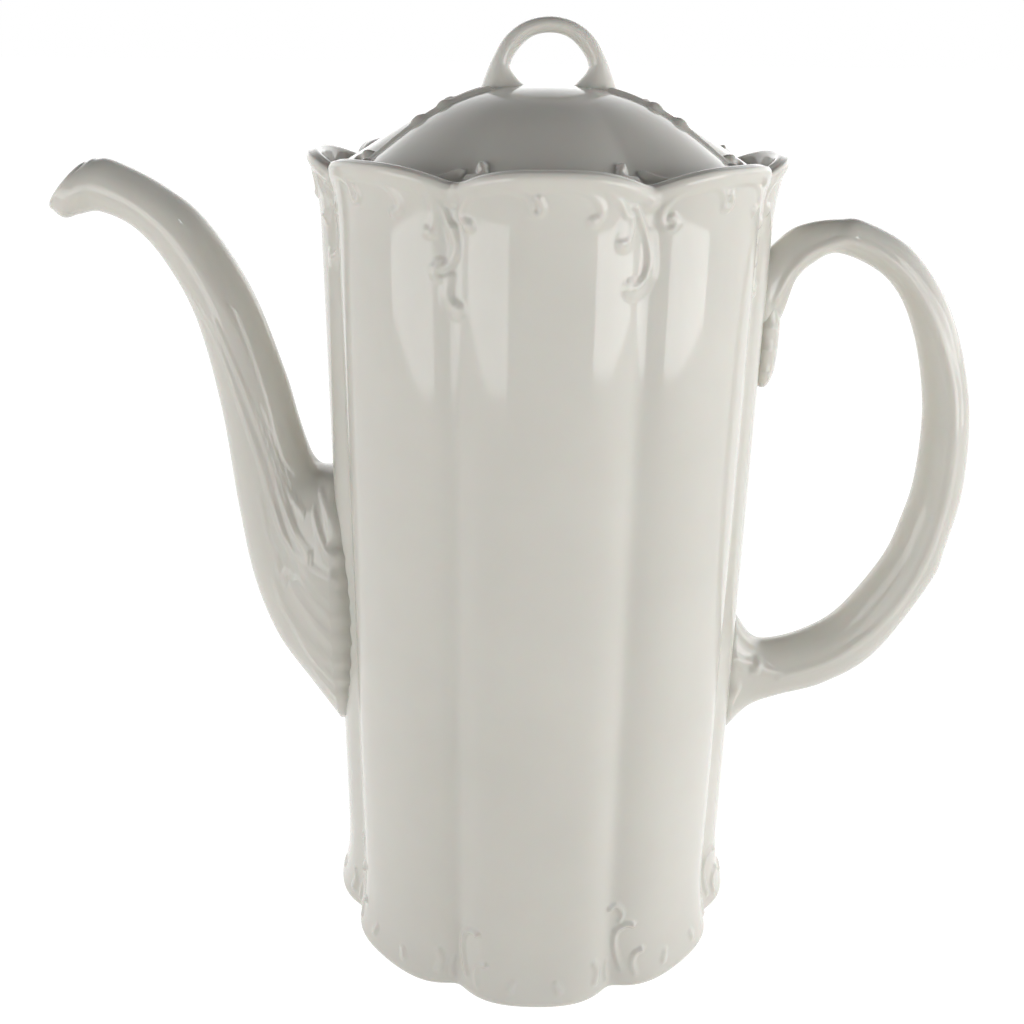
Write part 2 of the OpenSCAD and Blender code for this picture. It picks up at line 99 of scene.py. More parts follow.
# The hole that lets the coffee into the spout
HOLE_Z = 84.5
HOLE_HALF_H = 14.0
HOLE_HALF_W = 9.0


def valley(u, sharp):
    """0 over the middle of a lobe, 1 in the groove, with a soft groove bottom."""
    open_side = np.maximum(0, 1 - np.hypot(1 - u, GROOVE_SOFT))
    return (open_side / (1 - GROOVE_SOFT)) ** sharp


def across(turn):
    """Place across a lobe at a turn counted from the front: 0 middle, 1 groove."""
    half = LOBE_TURN / 2
    return np.abs((turn + half) % LOBE_TURN - half) / half


def wall_r(turn, z):
    """Radius of the pot's outside, before the relief."""
    swell = SWELL * np.clip((SWELL_TOP - z) / (SWELL_TOP - ROLL_R), 0, 1) ** SWELL_CURVE
    flare = FLARE_OUT * np.maximum(0, (z - FLARE_Z) / (PETAL_TOP - FLARE_Z)) ** 2
    out = swell + flare
    depth = GROOVE_DEPTH + GROOVE_FOLLOW * out
    return WALL_R + out - depth * valley(across(turn), GROOVE_SHARP)


def rim_z(turn):
    return PETAL_TOP - PETAL_RISE * valley(across(turn), PETAL_SHARP)


# Length along the wall's outline, so that a scroll keeps its width in a groove
FINE = np.linspace(0, LOBE_TURN, 801)
FINE_R = wall_r(FINE, 0.5 * NOTCH_Z)
FINE_STEP = np.hypot(np.diff(FINE_R), 0.5 * (FINE_R[1:] + FINE_R[:-1]) * np.diff(FINE))
FINE_RUN = np.concatenate([[0], np.cumsum(FINE_STEP)])
LOBE_RUN = FINE_RUN[-1]


def run_at(turn):
    """Length along the outline from the front of the pot to a turn."""
    lobe = np.floor(turn / LOBE_TURN)
    return lobe * LOBE_RUN + np.interp(turn - lobe * LOBE_TURN, FINE, FINE_RUN)


def smooth_path(points, steps=9):
    """A smooth curve through a few points, as an array of close points."""
    p = np.array(points, float)
    p = np.vstack([2 * p[0] - p[1], p, 2 * p[-1] - p[-2]])
    t = np.linspace(0, 1, steps, endpoint=False)[:, None]
    spans = []
    for a, b, c, d in zip(p[:-3], p[1:-2], p[2:-1], p[3:]):
        spans.append(0.5 * (
            2 * b + (c - a) * t + (2 * a - 5 * b + 4 * c - d) * t ** 2
            + (3 * b - a - 3 * c + d) * t ** 3
        ))
    return np.vstack(spans + [p[-2][None]])


# How round a stem and a ball are across, how far a ball stands above its stem,
# and how smoothly crossing stems run together
STEM_ROUND = 1.4
BALL_ROUND = 1.1
BALL_LIFT = 1.2
STEM_BLEND = 3


def raise_stroke(height, x, y, points, width, lift, ball=0.0):
    """Adds one moulded stem to a height field.

    The stem follows the points. Its half width and its lift run from their first
    value to their second along it, and a ball of the given radius ends it.
    """
    path = smooth_path(points)
    reach = max(max(width), ball)
    near = (
        (x > path[:, 0].min() - reach) & (x < path[:, 0].max() + reach)
        & (y > path[:, 1].min() - reach) & (y < path[:, 1].max() + reach)
    )
    if not near.any():
        return
    px, py = x[near], y[near]
    best = np.zeros(px.shape)
    count = len(path) - 1
    for k, ((ax, ay), (bx, by)) in enumerate(zip(path[:-1], path[1:])):
        dx, dy = bx - ax, by - ay
        t = np.clip(((px - ax) * dx + (py - ay) * dy) / max(dx * dx + dy * dy, 1e-9), 0, 1)
        s = (k + t) / count
        half = width[0] + (width[1] - width[0]) * s
        q = ((px - ax - t * dx) ** 2 + (py - ay - t * dy) ** 2) / half ** 2
        tall = lift[0] + (lift[1] - lift[0]) * s
        best = np.maximum(best, tall * np.maximum(0, 1 - q) ** STEM_ROUND)
    if ball:
        q = ((px - path[-1, 0]) ** 2 + (py - path[-1, 1]) ** 2) / ball ** 2
        best = np.maximum(best, BALL_LIFT * max(lift) * np.maximum(0, 1 - q) ** BALL_ROUND)
    height[near] = (height[near] ** STEM_BLEND + best ** STEM_BLEND) ** (1 / STEM_BLEND)


# Scrolls as (points, half widths, lifts, ball). A point is the distance along the
# wall from the groove at the petal's left, and the height above the rim's notch.
PETAL_SCROLLS = [
    ([(10.1, -0.3), (13.3, -0.5), (15.4, -1.4), (16.5, -3.1), (16.9, -4.8), (18.3, -5.1),
      (19.0, -3.8), (18.2, -2.1)], (0.9, 1.0), (0.25, 0.6), 0.0),
    ([(23.0, -0.1), (26.6, -0.7), (28.9, -2.0), (30.3, -3.9), (30.2, -5.5), (28.9, -6.4)],
     (0.9, 1.2), (0.25, 0.55), 1.5),
]
# Left end of a petal whose groove holds the long sprig: a hook, a bead on the notch
NOTCH_BEAD = [
    ([(10.9, 0.2), (6.7, -0.8), (3.8, -2.4), (2.0, -4.7), (1.9, -6.6), (3.5, -8.0)],
     (1.0, 1.3), (0.3, 0.7), 1.7),
    ([(0.6, -0.6), (0.5, -2.1)], (1.5, 1.5), (0.8, 0.8), 0.0),
    ([(-1.5, -3.7), (0.6, -3.8)], (1.1, 1.1), (0.4, 0.4), 0.0),
]
LONG_SPRIG = [
    ([(-9.6, 1.7), (-6.0, 0.2), (-4.1, -2.4), (-2.7, -4.5), (-1.7, -6.9), (-0.5, -9.2),
      (0.5, -11.1)], (1.1, 1.0), (0.3, 0.7), 0.0),
    ([(-0.3, -9.0), (0.3, -11.9), (-0.2, -14.3), (-1.3, -16.1), (-2.5, -16.8)],
     (1.7, 1.2), (0.9, 0.6), 0.0),
    ([(-5.5, -1.1), (-4.4, -3.4), (-4.0, -5.7), (-4.3, -8.1), (-5.0, -9.7)],
     (1.2, 1.3), (0.4, 0.6), 1.7),
    ([(-3.4, -15.4), (-4.0, -16.9)], (1.1, 1.2), (0.5, 0.5), 1.4),
    ([(-4.4, -17.9), (-3.2, -19.0), (-1.7, -18.6)], (1.2, 1.0), (0.6, 0.5), 0.0),
    ([(-1.1, -18.4), (-1.7, -21.6), (-1.1, -23.8), (0.6, -25.3)], (1.5, 1.9), (0.7, 0.85), 2.2),
]
# Right end of a petal whose groove holds the short sprig: a rounded tongue
TONGUE = [
    ([(-14.0, 1.7), (-7.1, 0.2), (-2.6, -1.4), (-0.3, -2.7)], (1.8, 2.7), (0.4, 1.5), 0.0),
    ([(10.4, 0.2), (7.7, -0.5), (5.3, -1.8), (3.4, -3.6), (2.5, -5.5), (2.9, -7.7), (4.4, -8.7),
      (5.5, -7.5), (4.5, -6.1)], (1.0, 0.9), (0.3, 0.6), 0.0),
]
SHORT_SPRIG = [
    ([(-10.6, -0.7), (-7.6, -2.9), (-5.9, -5.5)], (1.1, 1.1), (0.3, 0.5), 0.0),
    ([(-5.6, -6.2), (-6.2, -9.0), (-6.0, -10.6)], (1.9, 2.6), (0.3, 0.5), 0.0),
    ([(-4.9, -5.8), (-4.6, -8.3), (-5.5, -10.4), (-6.9, -10.7)], (1.0, 1.2), (0.6, 0.8), 0.0),
    ([(-3.9, -3.9), (-2.1, -6.7), (-0.4, -10.0), (0.5, -13.4), (0.5, -16.0), (-0.5, -18.5),
      (-2.9, -19.9)], (1.0, 1.3), (0.6, 0.9), 0.0),
    ([(0.6, -9.5), (1.0, -15.5), (0.0, -18.8), (-2.2, -20.4), (-3.8, -19.8)],
     (1.6, 2.7), (0.25, 0.6), 0.0),
]
# Scrolls at the foot, as above, but with the height above the glazed foot
FOOT_SCROLLS = [
    ([(3.0, 5.8), (1.7, 10.4), (1.2, 14.6), (1.9, 17.8), (4.0, 19.4), (5.8, 19.2)],
     (0.8, 1.0), (0.5, 1.0), 1.1),
    ([(6.4, 4.4), (5.8, 7.6), (6.6, 10.2), (8.4, 11.0)], (1.0, 0.9), (0.5, 0.8), 1.0),
    ([(-1.2, 4.0), (-1.5, 6.6), (-1.0, 9.4)], (0.9, 0.6), (0.5, 0.3), 0.0),
    ([(-4.8, 5.4), (-4.2, 8.4), (-5.2, 10.8)], (1.4, 1.0), (0.6, 0.5), 0.0),
    ([(15.0, 5.6), (15.8, 7.6)], (1.4, 1.0), (0.5, 0.4), 0.0),
    ([(27.0, 5.4), (26.2, 7.4)], (1.4, 1.0), (0.5, 0.4), 0.0),
]
FOOT_CURL = [
    ([(2.4, 20.6), (3.0, 23.2), (1.6, 25.6), (-0.5, 25.2)], (0.7, 1.0), (0.5, 0.9), 0.9),
]


def body_relief(turn, z):
    """Height of the moulded relief over the wall at each point."""
    height = np.zeros(z.shape)
    run = run_at(turn)
    below = rim_z(turn) - z
    roll = 1 - ((below - RIM_ROLL_BELOW) / RIM_ROLL_HALF) ** 2
    height += RIM_ROLL * np.clip(roll, 0, 1) ** 0.8
    whole = LOBES * LOBE_RUN
    for groove in range(LOBES):
        # Grooves stand half a lobe to either side of the front
        x = (run - (groove - 0.5) * LOBE_RUN + whole / 2) % whole - whole / 2
        x_petal = (run - (groove - 0.5) * LOBE_RUN) % whole
        high = z - NOTCH_Z
        low = z - GLAZED_FOOT_Z
        short = groove % 2 == 1
        for scroll in PETAL_SCROLLS:
            raise_stroke(height, x_petal, high, *scroll)
        for scroll in (TONGUE + SHORT_SPRIG) if short else (NOTCH_BEAD + LONG_SPRIG):
            raise_stroke(height, x, high, *scroll)
        for scroll in FOOT_SCROLLS + (FOOT_CURL if short else []):
            raise_stroke(height, x, low, *scroll)
    return height


def grid_normals(grid):
    """Outward normals of a grid of points that closes on itself round its columns."""
    along = np.gradient(grid, axis=0)
    around = np.roll(grid, -1, axis=1) - np.roll(grid, 1, axis=1)
    normal = np.cross(around, along)
    return normal / np.maximum(np.linalg.norm(normal, axis=2, keepdims=True), 1e-9)


def add_grid(name, grid, skip=None, extra_faces=(), ends=True):
    """Mesh object from points in mm, as grid[row, column], closed round the columns.

    With ends, the first and the last row are closed by a fan on their middle.
    """
    rows, cols = grid.shape[:2]
    points = grid.reshape(-1, 3)
    here = np.arange(rows * cols).reshape(rows, cols)
    right = np.roll(here, -1, axis=1)
    quads = np.stack([here[:-1], right[:-1], right[1:], here[1:]], axis=-1)
    keep = np.ones(quads.shape[:2], bool) if skip is None else ~skip
    faces = quads[keep].tolist() + [list(face) for face in extra_faces]
    if ends:
        points = np.vstack([points, grid[0].mean(axis=0), grid[-1].mean(axis=0)])
        first, last = rows * cols, rows * cols + 1
        faces += [[first, b, a] for a, b in zip(here[0], right[0])]
        faces += [[last, a, b] for a, b in zip(here[-1], right[-1])]
    mesh = bpy.data.meshes.new(name)
    mesh.from_pydata((points * MM).tolist(), [], faces)
    mesh.polygons.foreach_set("use_smooth", [True] * len(mesh.polygons))
    mesh.update()
    piece = bpy.data.objects.new(name, mesh)
    bpy.context.scene.collection.objects.link(piece)
    return piece


turns = (np.arange(COLUMNS) + 0.5) * 2 * math.pi / COLUMNS
spout_turn = 1.5 * math.pi


def at_turn(turn, r, z):
    """Points at a turn counted from the front, towards the handle."""
    return np.stack([r * np.sin(turn), -r * np.cos(turn), z * np.ones(np.shape(r))], axis=-1)


def ring_row(r, z):
    return at_turn(turns, r * np.ones(COLUMNS), z)


# Underside and foot
UNDERSIDE_RINGS = (2, 16, 32)
body_rows = [ring_row(r, RECESS_Z) for r in (*UNDERSIDE_RINGS, RECESS_R)]
body_rows.append(ring_row(RECESS_R, GLAZED_FOOT_Z))
roll_middle_z = GLAZED_FOOT_Z + ROLL_R
roll_middle_r = wall_r(turns, roll_middle_z) - ROLL_R
for angle in np.radians(np.linspace(-90, 0, 9)[:-1]):
    r = roll_middle_r + ROLL_R * math.cos(angle)
    body_rows.append(at_turn(turns, r, roll_middle_z + ROLL_R * math.sin(angle)))
# Outside of the wall: close rows where there is relief
FOOT_RELIEF_TOP = 31.0
RIM_RELIEF_FOOT = 164.0
FOOT_STEP = 0.5
PLAIN_STEP = 3.5
RIM_STEP = 0.45
FLARE_ROWS = 44
outer_start = len(body_rows)
wall_rows = np.concatenate([
    np.arange(roll_middle_z, FOOT_RELIEF_TOP, FOOT_STEP),
    np.arange(FOOT_RELIEF_TOP, RIM_RELIEF_FOOT, PLAIN_STEP),
    np.arange(RIM_RELIEF_FOOT, FLARE_Z, RIM_STEP),
])
for z in wall_rows:
    body_rows.append(at_turn(turns, wall_r(turns, z), z))
lip_middle_z = rim_z(turns) - WALL / 2
for share in np.linspace(0, 1, FLARE_ROWS):
    z = FLARE_Z + share * (lip_middle_z - FLARE_Z)
    body_rows.append(at_turn(turns, wall_r(turns, z), z))
outer_end = len(body_rows)
# Rounded lip, then down the inside to the floor
lip_middle_r = wall_r(turns, lip_middle_z) - WALL / 2
for angle in np.radians(np.linspace(0, 180, 15)[1:-1]):
    r = lip_middle_r + WALL / 2 * math.cos(angle)
    body_rows.append(at_turn(turns, r, lip_middle_z + WALL / 2 * math.sin(angle)))
for share in np.linspace(1, 0, 9):
    z = FLARE_Z + share * (lip_middle_z - FLARE_Z)
    body_rows.append(at_turn(turns, wall_r(turns, z) - WALL, z))
inner_start = len(body_rows)
inner_rows = wall_rows[(wall_rows > SWELL_TOP) & (wall_rows < RIM_RELIEF_FOOT)][::-1]
for z in inner_rows:
    body_rows.append(at_turn(turns, wall_r(turns, z) - WALL, z))
corner_middle_r = wall_r(turns, SWELL_TOP) - WALL - INNER_CORNER
for angle in np.radians(np.linspace(0, 90, 8)):
    r = corner_middle_r + INNER_CORNER * math.cos(angle)
    body_rows.append(at_turn(turns, r, FLOOR_Z + INNER_CORNER * (1 - math.sin(angle))))
FLOOR_RINGS = (28, 14, 2)
body_rows += [ring_row(r, FLOOR_Z) for r in FLOOR_RINGS]
body_grid = np.array(body_rows)

# The hole is a window of grid cells, drawn out into an oval on both skins
window_cols = np.where(np.abs(turns - spout_turn) * WALL_R <= HOLE_HALF_W)[0]
window_z = wall_rows[(np.abs(wall_rows - HOLE_Z) <= HOLE_HALF_H)]
for first_row, levels, inset in (
    (outer_start, wall_rows, 0.0), (inner_start, inner_rows, WALL),
):
    for level in window_z:
        row = first_row + int(np.where(levels == level)[0][0])
        p = np.linspace(-1, 1, len(window_cols))
        q = 2 * (level - window_z[0]) / (window_z[-1] - window_z[0]) - 1
        turn = spout_turn + p * np.sqrt(1 - q * q / 2) * HOLE_HALF_W / WALL_R
        z = HOLE_Z + HOLE_HALF_H * q * np.sqrt(1 - p * p / 2)
        body_grid[row, window_cols] = at_turn(turn, wall_r(turn, z) - inset, z)

# The relief goes on over the first rows of the lip
LIP_ROWS_RAISED = 3
outer = slice(outer_start, outer_end + LIP_ROWS_RAISED)
relief = body_relief(
    np.broadcast_to(turns, body_grid[outer].shape[:2]), body_grid[outer][..., 2],
)
body_grid[outer] += grid_normals(body_grid)[outer] * relief[..., None]

skip = np.zeros((len(body_rows) - 1, COLUMNS), bool)
outer_window = [outer_start + int(np.where(wall_rows == z)[0][0]) for z in window_z]
inner_window = [inner_start + int(np.where(inner_rows == z)[0][0]) for z in window_z]
for window in (outer_window, inner_window):
    skip[min(window):max(window), window_cols[0]:window_cols[-1]] = True


def cell(row, column):
    return row * COLUMNS + column


hole_sides = []
for a, b in zip(window_cols[:-1], window_cols[1:]):
    o, i = outer_window[0], inner_window[0]
    hole_sides.append((cell(o, a), cell(i, a), cell(i, b), cell(o, b))[::-1])
    o, i = outer_window[-1], inner_window[-1]
    hole_sides.append((cell(o, a), cell(i, a), cell(i, b), cell(o, b)))
for k in range(len(window_z) - 1):
    o1, o2, i1, i2 = outer_window[k], outer_window[k + 1], inner_window[k], inner_window[k + 1]
    a, b = window_cols[0], window_cols[-1]
    hole_sides.append((cell(o1, a), cell(i1, a), cell(i2, a), cell(o2, a)))
    hole_sides.append((cell(o1, b), cell(i1, b), cell(i2, b), cell(o2, b))[::-1])

pot_body = add_grid("pot_body", body_grid, skip, hole_sides)


def linear(hex_colour):
    """sRGB hex colour as linear RGBA."""
    srgb = [int(hex_colour[k:k + 2], 16) / 255 for k in (1, 3, 5)]
    rgb = [c / 12.92 if c <= 0.04045 else ((c + 0.055) / 1.055) ** 2.4 for c in srgb]
    return (*rgb, 1.0)


def add_node(tree, kind, settings=None, inputs=None):
    """Adds a node; inputs may hold values or the sockets that feed them."""
    node = tree.nodes.new(kind)
    for key, value in (settings or {}).items():
        setattr(node, key, value)
    for key, value in (inputs or {}).items():
        if isinstance(value, bpy.types.NodeSocket):
            tree.links.new(value, node.inputs[key])
        else:
            node.inputs[key].default_value = value
    return node


# Sizes in mm of the cloudiness, of the glaze's waves and of the biscuit's tooth
CLOUD_SIZE = 35
WAVE_SIZE = 16
TOOTH_SIZE = 0.35


def porcelain(name, light, shade, roughness, wave=0.02, grain=0.0):
    """Porcelain: a hardly visible cloudiness in its white, and its surface's relief.

    wave is the height of the glaze's slow waviness in mm, and grain that of the
    biscuit's fine tooth.
    """
    material = bpy.data.materials.new(name)
    material.use_nodes = True
    tree = material.node_tree
    tree.nodes.clear()
    place = add_node(tree, "ShaderNodeTexCoord").outputs["Object"]
    cloud = add_node(tree, "ShaderNodeTexNoise", None, {
        "Vector": place, "Scale": 1 / (CLOUD_SIZE * MM), "Detail": 3.0, "Roughness": 0.55,
    })
    spread = add_node(tree, "ShaderNodeMapRange", None, {
        "Value": cloud.outputs["Fac"], "From Min": 0.35, "From Max": 0.65,
    })
    mix = add_node(tree, "ShaderNodeMix", {"data_type": "RGBA"}, {
        "Factor": spread.outputs["Result"], 6: linear(light), 7: linear(shade),
    })
    slow = add_node(tree, "ShaderNodeTexNoise", None, {
        "Vector": place, "Scale": 1 / (WAVE_SIZE * MM), "Detail": 1.0,
    })
    bump = add_node(tree, "ShaderNodeBump", None, {
        "Height": slow.outputs["Fac"], "Strength": 1.0, "Distance": wave * MM,
    })
    if grain:
        fine = add_node(tree, "ShaderNodeTexNoise", None, {
            "Vector": place, "Scale": 1 / (TOOTH_SIZE * MM), "Detail": 4.0,
        })
        bump = add_node(tree, "ShaderNodeBump", None, {
            "Height": fine.outputs["Fac"], "Strength": 1.0, "Distance": grain * MM,
            "Normal": bump.outputs["Normal"],
        })
    shine = add_node(tree, "ShaderNodeMapRange", None, {
        "Value": cloud.outputs["Fac"], "To Min": 0.8 * roughness, "To Max": 1.2 * roughness,
    })
    shader = add_node(tree, "ShaderNodeBsdfPrincipled", None, {
        "Base Color": mix.outputs[2], "Roughness": shine.outputs["Result"],
        "Normal": bump.outputs["Normal"], "IOR": 1.52,
        "Subsurface Weight": 0.12, "Subsurface Scale": 2 * MM,
    })
    output = add_node(tree, "ShaderNodeOutputMaterial")
    tree.links.new(shader.outputs["BSDF"], output.inputs["Surface"])
    return material


# White porcelain under a clear, smooth, faintly warm glaze
glazed_porcelain = porcelain("glazed_porcelain", "#e9e7e0", "#e5e3dc", 0.07)
pot_body.data.materials.append(glazed_porcelain)
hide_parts("body", "rim_scrolls", "wall_sprigs", "foot_scrolls")
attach(pot_body, "pot")

# ---------------------------------------------------------------------------
# Standing ring, the ledge for the lid and the lid's collar. Their CAD solids
# have the right shape and stay. The ring is ground free of glaze so that the
# pot can stand in the kiln: matt, warmer biscuit porcelain.
# ---------------------------------------------------------------------------
biscuit_porcelain = porcelain("biscuit_porcelain", "#e2ddd2", "#d9d3c6", 0.55, 0.0, 0.03)
for node_name, material in (
    ("standing_ring", biscuit_porcelain),
    ("lid_seat", glazed_porcelain),
    ("lid_collar", glazed_porcelain),
):
    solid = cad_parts[node_name]
    solid.data.materials.clear()
    solid.data.materials.append(material)

# ---------------------------------------------------------------------------
# Spout. A hollow swan neck, cast in its own mould and stuck over the hole with
# slip. Reeds run down each side and open into a fan of leaf fingers that
# spreads over the root and ends in a row of tips on the wall.
# ---------------------------------------------------------------------------
spout_low, spout_high = box_mm("spout")
SPOUT_REACH = -spout_low[0] - WALL_R
SPOUT_FOOT = spout_low[2]
SPOUT_RISE = spout_high[2] - SPOUT_FOOT
SPOUT_ROOT_W = 16.5
ROOT_FULL = 0.62
ROOT_SPANS = 3.5
SPOUT_WALL = 2.6
SPOUT_SIDES = 112
SPOUT_STEPS = 22
ROOT_BED = 1.5

# Both ends of each section's long axis, as shares of the reach and of the rise,
# and the half width as a share of the root's
SPOUT_PLAN = [
    (0.000, 0.486, 0.000, 0.000, 1.00),
    (0.058, 0.488, 0.118, 0.072, 0.90),
    (0.089, 0.505, 0.262, 0.165, 0.74),
    (0.110, 0.534, 0.352, 0.281, 0.62),
    (0.138, 0.581, 0.396, 0.420, 0.55),
    (0.181, 0.659, 0.432, 0.593, 0.50),
    (0.287, 0.795, 0.498, 0.746, 0.47),
    (0.438, 0.906, 0.596, 0.840, 0.44),
    (0.588, 0.961, 0.698, 0.894, 0.42),
    (0.752, 0.997, 0.816, 0.918, 0.41),
    (0.816, 1.000, 0.898, 0.914, 0.42),
    (0.835, 0.999, 0.955, 0.908, 0.41),
    (0.850, 0.994, 1.000, 0.922, 0.38),
]


def section_ring(section, around, trim=0.0, full=1.0):
    """Ring of points. A section is inner x, z, outer x, z and half width.

    It is an oval at full 1, and squarer below that.
    """
    near_end, far_end, half_w = section[:2], section[2:4], section[4]
    half = np.linalg.norm(far_end - near_end) / 2
    long_way = (far_end - near_end) / (2 * half)
    middle = (far_end + near_end) / 2
    flat = middle + np.outer(np.cos(around) * (half - trim), long_way)
    bulge = np.sign(np.sin(around)) * np.abs(np.sin(around)) ** full
    return np.stack([flat[:, 0], (half_w - trim) * bulge, flat[:, 1]], axis=-1)


def onto_wall(ring, side, lift):
    """Moves a ring of points along X to the pot's wall, on the handle's or spout's side."""
    y = ring[:, 1]
    r = np.full(len(y), WALL_R)
    for _ in range(3):
        turn = side * np.arccos(np.clip(-y / r, -1, 1)) % (2 * math.pi)
        r = wall_r(turn, ring[:, 2]) + lift
    moved = ring.copy()
    moved[:, 0] = side * np.sqrt(r ** 2 - y ** 2)
    return moved


# The relief fades out where a surface turns away from the sides
FACING_GAIN = 1.8
FACING_START = 0.25


def flat_relief(grid, normals, strokes):
    """Relief drawn in the XZ plane and raised on both sides of a piece."""
    height = np.zeros(grid.shape[:2])
    x, z = grid[..., 0].copy(), grid[..., 2].copy()
    for stroke in strokes:
        raise_stroke(height, x, z, *stroke)
    facing = np.clip(np.abs(normals[..., 1]) * FACING_GAIN - FACING_START, 0, 1)
    return height * facing


# Reeds and leaf fingers, as points in the XZ plane
SPOUT_RELIEF = [
    ([(-84.5, 172.0), (-79.5, 162.0), (-76.2, 151.9), (-73.3, 141.8), (-70.3, 131.4),
      (-67.5, 119.7), (-64.6, 111.0), (-60.2, 105.6), (-55.2, 102.3), (-48.5, 100.2)],
     (0.7, 1.7), (0.3, 0.9), 0.0),
    ([(-79.0, 166.0), (-74.6, 154.0), (-70.6, 141.9), (-67.8, 131.5), (-65.2, 121.0),
      (-62.3, 113.4), (-58.4, 107.4)], (0.6, 1.2), (0.3, 0.8), 0.0),
    ([(-70.0, 146.0), (-67.0, 134.0), (-63.8, 124.0), (-60.0, 117.8)],
     (0.5, 0.8), (0.2, 0.5), 0.0),
    ([(-60.5, 104.2), (-56.4, 99.4), (-52.4, 96.0), (-48.0, 95.4)],
     (1.1, 2.2), (0.4, 0.8), 0.0),
    ([(-65.5, 101.8), (-60.5, 98.6), (-55.6, 93.6), (-52.0, 90.4), (-48.0, 89.4)],
     (1.1, 2.4), (0.4, 0.8), 0.0),
    ([(-63.8, 99.0), (-60.6, 94.0), (-56.6, 88.2), (-52.4, 84.2), (-48.0, 83.2)],
     (1.1, 2.5), (0.4, 0.8), 0.0),
    ([(-68.4, 99.4), (-66.3, 92.4), (-62.6, 85.8), (-57.6, 80.6), (-52.6, 77.8), (-48.0, 76.8)],
     (1.1, 2.5), (0.3, 0.8), 0.0),
    ([(-63.4, 86.4), (-60.4, 80.4), (-56.4, 75.4), (-52.2, 71.8), (-48.0, 70.6)],
     (1.0, 2.3), (0.4, 0.8), 0.0),
    ([(-59.0, 73.6), (-55.4, 69.4), (-52.0, 66.0), (-48.6, 64.4)],
     (0.9, 1.9), (0.3, 0.7), 0.0),
    ([(-71.2, 122.4), (-69.4, 112.8), (-67.6, 106.8), (-66.8, 102.4), (-65.0, 99.8)],
     (0.5, 0.8), (0.2, 0.6), 0.0),
    ([(-55.4, 123.0), (-53.4, 118.4), (-52.0, 113.2), (-49.4, 108.6)],
     (1.0, 2.2), (0.4, 0.9), 0.0),
    ([(-57.2, 118.6), (-55.6, 113.0), (-52.6, 107.2), (-48.6, 104.6)],
     (0.8, 1.6), (0.4, 1.0), 0.0),
]

spout_plan = np.array(SPOUT_PLAN)
spout_plan[:, [0, 2]] = -WALL_R - spout_plan[:, [0, 2]] * SPOUT_REACH
spout_plan[:, [1, 3]] = SPOUT_FOOT + spout_plan[:, [1, 3]] * SPOUT_RISE
spout_plan[:, 4] *= SPOUT_ROOT_W
spout_sections = smooth_path(spout_plan, SPOUT_STEPS)
spout_around = np.linspace(0, 2 * math.pi, SPOUT_SIDES, endpoint=False)
fulls = np.interp(
    np.arange(len(spout_sections)), (0, ROOT_SPANS * SPOUT_STEPS), (ROOT_FULL, 1),
)
outside = np.array([
    section_ring(s, spout_around, 0.0, full) for s, full in zip(spout_sections, fulls)
])
spout_normals = -grid_normals(outside)
outside += spout_normals * flat_relief(outside, spout_normals, SPOUT_RELIEF)[..., None]
inside = np.array([
    section_ring(s, spout_around, SPOUT_WALL, full)
    for s, full in zip(spout_sections[::-1], fulls[::-1])
])
# The lip is rounded along the way the spout's mouth looks, up and away from the pot
MOUTH_WAY = np.array([-0.7, 0, 0.7])
lip = [
    section_ring(spout_sections[-1], spout_around, SPOUT_WALL * (1 - math.cos(angle)) / 2)
    + SPOUT_WALL / 3 * math.sin(angle) * MOUTH_WAY
    for angle in np.radians([30, 60, 90, 120, 150])
]
outside[0] = onto_wall(outside[0], -1, -ROOT_BED)
inside[-1] = onto_wall(inside[-1], -1, -ROOT_BED)
spout_grid = np.concatenate([outside, lip, inside])
first = np.arange(SPOUT_SIDES)
last = first + SPOUT_SIDES * (len(spout_grid) - 1)
root_faces = [
    (first[k], last[k], last[(k + 1) % SPOUT_SIDES], first[(k + 1) % SPOUT_SIDES])
    for k in range(SPOUT_SIDES)
]
pot_spout = add_grid("pot_spout", spout_grid, None, root_faces, ends=False)
pot_spout.data.flip_normals()
pot_spout.data.materials.append(glazed_porcelain)
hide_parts("spout", "spout_leaves")
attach(pot_spout, "pot")

# ---------------------------------------------------------------------------
# Handle. A solid ear, cast in a mould of its own and stuck on with slip. It has
# a soft ridge along each side, a bead at its lower root, and a leaf that hangs
# down the wall from its upper root.
# ---------------------------------------------------------------------------
ear_high = box_mm("handle")[1]
# How far the sections reach past the ear's box, and how far they stay below it
EAR_PAST_BOX = 0.2
EAR_BELOW_BOX = 0.1
EAR_REACH = ear_high[0] - WALL_R + EAR_PAST_BOX
EAR_FOOT = 49.0
EAR_RISE = ear_high[2] - EAR_FOOT - EAR_BELOW_BOX
EAR_W = 6.0
EAR_SIDES = 80
EAR_STEPS = 16
# Sections as in SPOUT_PLAN, with the half width as a share of the ear's
EAR_PLAN = [
    (0.000, 0.800, 0.000, 0.944, 1.20),
    (0.079, 0.827, 0.095, 0.980, 0.95),
    (0.109, 0.883, 0.188, 0.994, 0.88),
    (0.179, 0.921, 0.295, 0.999, 0.82),
    (0.311, 0.943, 0.407, 0.996, 0.80),
    (0.533, 0.900, 0.627, 0.949, 0.84),
    (0.672, 0.814, 0.820, 0.848, 0.90),
    (0.764, 0.680, 0.957, 0.694, 0.96),
    (0.778, 0.545, 0.996, 0.535, 1.00),
    (0.743, 0.457, 0.960, 0.414, 1.02),
    (0.678, 0.376, 0.915, 0.338, 1.04),
    (0.509, 0.272, 0.700, 0.188, 1.08),
    (0.350, 0.226, 0.470, 0.120, 1.11),
    (0.190, 0.206, 0.240, 0.090, 1.15),
    (0.100, 0.215, 0.105, 0.066, 1.28),
    (0.000, 0.270, 0.000, 0.015, 1.55),
]
